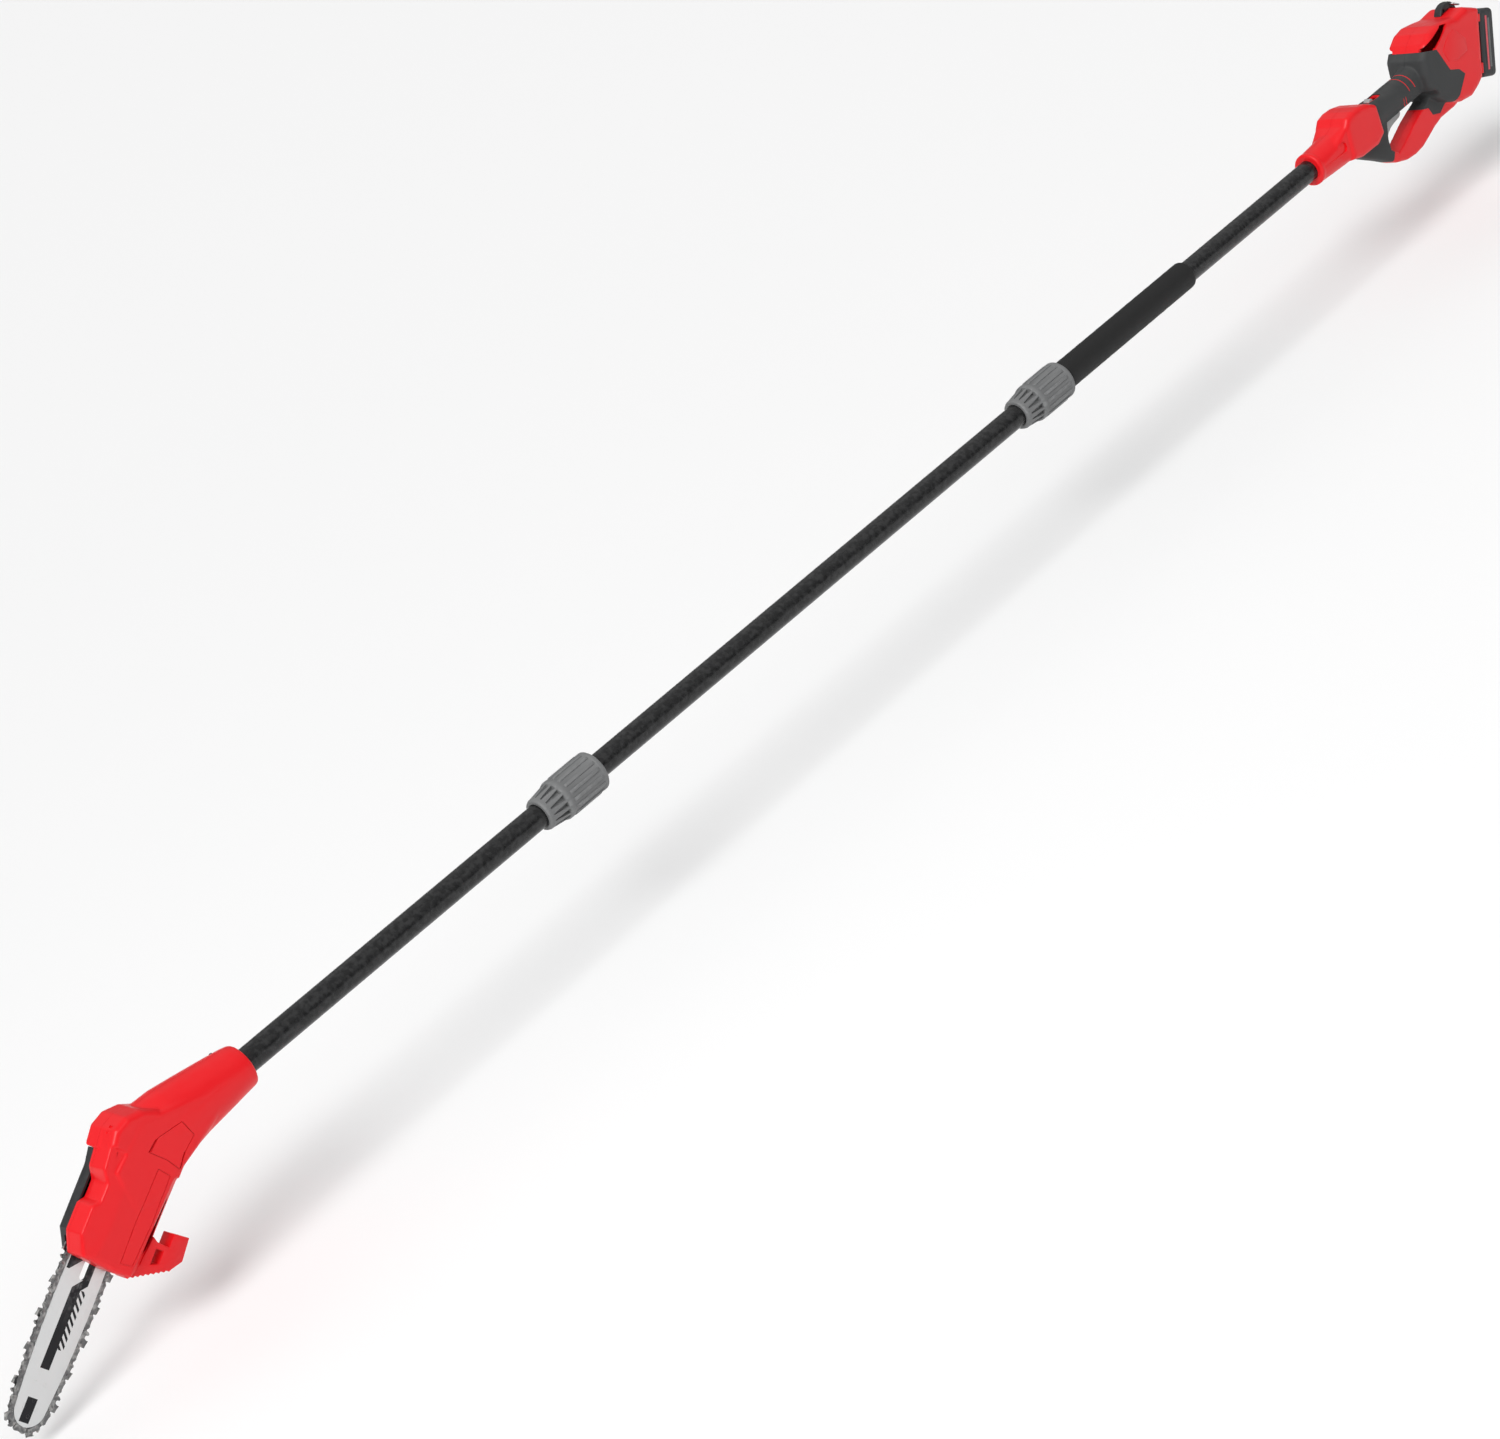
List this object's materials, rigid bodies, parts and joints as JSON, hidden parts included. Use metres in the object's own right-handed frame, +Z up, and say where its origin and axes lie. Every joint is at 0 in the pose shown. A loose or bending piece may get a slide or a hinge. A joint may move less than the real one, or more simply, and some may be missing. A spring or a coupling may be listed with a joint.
{
  "type": "battery pole saw",
  "caption": "Sectional pole chain saw: short bar head on screw-coupled tubes, foam foregrip, and a rear D-handle with trigger and slide-on battery.",
  "frame": {"origin": "on the pole's axis at the middle of the rear grip, where the rear hand holds it", "axes": "+X along the pole from the saw to the battery, +Y to the user's right, +Z up"},
  "size_m": [3.1221, 0.074, 0.2678],
  "materials": {
    "red": "moulded red plastic, satin",
    "black_plastic": "moulded black plastic",
    "overmould": "soft charcoal overmould",
    "grey_plastic": "mid-grey ribbed plastic",
    "trigger_grey": "light grey plastic",
    "tube": "black powder-coated aluminium tube",
    "foam": "closed-cell black foam",
    "steel": "machined steel",
    "dark_steel": "oiled dark steel",
    "bar_steel": "ground steel with black painted bands",
    "aluminium": "die-cast aluminium",
    "copper": "wound copper and laminations",
    "cable": "black cable sheath",
    "cell_wrap": "shrink wrap"
  },
  "bodies": {
    "handle": {"handle_shell_left": "red", "handle_shell_right": "red", "grip_overmould_left": "overmould", "grip_overmould_right": "overmould", "handle_pole": "tube", "handle_socket": "black_plastic", "foam_grip": "foam", "handle_cable": "cable", "trigger_switch": "black_plastic", "trigger_spring": "steel", "terminal_block": "black_plastic", "hang_bracket": "black_plastic"},
    "trigger": {"trigger": "trigger_grey"},
    "lockoff": {"lockoff_button": "trigger_grey"},
    "strap_ring": {"strap_ring": "steel"},
    "battery": {"battery_case": "black_plastic", "battery_lid": "black_plastic", "battery_cell_1": "cell_wrap", "battery_cell_2": "cell_wrap", "battery_cell_3": "cell_wrap", "battery_cell_4": "cell_wrap", "battery_cell_5": "cell_wrap"},
    "battery_latch": {"battery_latch": "overmould"},
    "extension": {"extension_pole": "tube", "extension_plug": "black_plastic", "extension_socket": "black_plastic", "extension_cable": "cable"},
    "rear_collar_slide": {"rear_collar_ring": "black_plastic"},
    "rear_collar": {"rear_collar": "grey_plastic"},
    "head": {"head_pole": "tube", "head_plug": "black_plastic", "head_cable": "cable", "head_housing_left": "red", "head_housing_right": "red", "motor_can": "dark_steel", "gear_bracket": "aluminium", "bar_stud": "steel"},
    "front_collar_slide": {"front_collar_ring": "black_plastic"},
    "front_collar": {"front_collar": "grey_plastic"},
    "rotor": {"motor_shaft": "steel", "motor_armature": "copper", "bevel_pinion": "steel"},
    "jackshaft": {"jackshaft": "steel", "bevel_gear": "steel"},
    "sprocket": {"sprocket_shaft": "steel", "spur_gear": "steel", "drive_sprocket": "steel"},
    "tension_screw": {"tension_screw": "steel"},
    "bar": {"guide_bar": "bar_steel", "saw_chain": "dark_steel", "tension_block": "steel"},
    "nose_sprocket": {"nose_sprocket": "steel"},
    "sprocket_cover": {"sprocket_cover": "black_plastic"},
    "cover_nut": {"cover_nut": "steel"}
  },
  "joints": [
    {"name": "trigger_pull", "type": "hinge", "parent": "handle", "child": "trigger", "pos_m": [-0.06, 0, -0.0065], "axis": [0, -1, 0], "range_deg": [0, 10], "stiffness_Nm_per_rad": 0.3, "springref_deg": -5.73, "deforming": ["trigger_spring"]},
    {"name": "lockoff_slide", "type": "slide", "parent": "handle", "child": "lockoff", "axis": [1, 0, 0], "range_m": [0, 0.0035], "stiffness_N_per_m": 200, "springref_m": -0.002},
    {"name": "strap_ring_swing", "type": "hinge", "parent": "handle", "child": "strap_ring", "pos_m": [0.171, 0, 0.0686], "axis": [0, -1, 0], "range_deg": [0, 100]},
    {"name": "battery_slide", "type": "slide", "parent": "handle", "child": "battery", "axis": [0.342, 0, 0.9397], "range_m": [0, 0.11]},
    {"name": "battery_latch_press", "type": "slide", "parent": "battery", "child": "battery_latch", "axis": [-0.9397, 0, 0.342], "range_m": [0, 0.0025], "stiffness_N_per_m": 600, "springref_m": -0.001},
    {"name": "extension_pull", "type": "slide", "parent": "handle", "child": "extension", "axis": [-1, 0, 0], "range_m": [0, 0.07]},
    {"name": "rear_collar_travel", "type": "slide", "parent": "extension", "child": "rear_collar_slide", "axis": [-1, 0, 0], "range_m": [0, 0.0081]},
    {"name": "rear_collar_turn", "type": "hinge", "parent": "rear_collar_slide", "child": "rear_collar", "pos_m": [-0.974, 0, 0], "axis": [-1, 0, 0], "range_deg": [0, 720]},
    {"name": "head_pull", "type": "slide", "parent": "extension", "child": "head", "axis": [-1, 0, 0], "range_m": [0, 0.07]},
    {"name": "front_collar_travel", "type": "slide", "parent": "head", "child": "front_collar_slide", "axis": [-1, 0, 0], "range_m": [0, 0.0081]},
    {"name": "front_collar_turn", "type": "hinge", "parent": "front_collar_slide", "child": "front_collar", "pos_m": [-1.948, 0, 0], "axis": [-1, 0, 0], "range_deg": [0, 720]},
    {"name": "rotor_spin", "type": "hinge", "parent": "head", "child": "rotor", "pos_m": [-2.55, 0, 0], "axis": [1, 0, 0], "continuous": true},
    {"name": "jackshaft_spin", "type": "hinge", "parent": "head", "child": "jackshaft", "pos_m": [-2.62799, 0, 0], "axis": [0, 1, 0], "continuous": true},
    {"name": "sprocket_spin", "type": "hinge", "parent": "head", "child": "sprocket", "pos_m": [-2.65319, 0, -0.02429], "axis": [0, 1, 0], "continuous": true},
    {"name": "nose_sprocket_spin", "type": "hinge", "parent": "bar", "child": "nose_sprocket", "pos_m": [-2.86375, 0.01, -0.16365], "axis": [0, 1, 0], "continuous": true},
    {"name": "tension_turn", "type": "hinge", "parent": "head", "child": "tension_screw", "pos_m": [-2.7268, 0.0029, -0.05621], "axis": [0.8339, 0, 0.5519], "range_deg": [0, 542]},
    {"name": "bar_slide", "type": "slide", "parent": "head", "child": "bar", "axis": [0.8339, 0, 0.5519], "range_m": [0, 0.0015]},
    {"name": "cover_lift", "type": "slide", "parent": "head", "child": "sprocket_cover", "axis": [0, 1, 0], "range_m": [0, 0.03]},
    {"name": "cover_nut_turn", "type": "hinge", "parent": "sprocket_cover", "child": "cover_nut", "pos_m": [-2.69572, 0.022, -0.05243], "axis": [0, 1, 0], "continuous": true}
  ],
  "couplings": [
    {"joint": "rear_collar_travel", "follows": "rear_collar_turn", "m_per_rad": 0.00063662},
    {"joint": "front_collar_travel", "follows": "front_collar_turn", "m_per_rad": 0.00063662},
    {"joint": "jackshaft_spin", "follows": "rotor_spin", "ratio": 0.5},
    {"joint": "sprocket_spin", "follows": "rotor_spin", "ratio": -0.13636},
    {"joint": "nose_sprocket_spin", "follows": "rotor_spin", "ratio": -0.11688},
    {"joint": "tension_turn", "follows": "bar_slide", "rad_per_m": 6283.2}
  ]
}
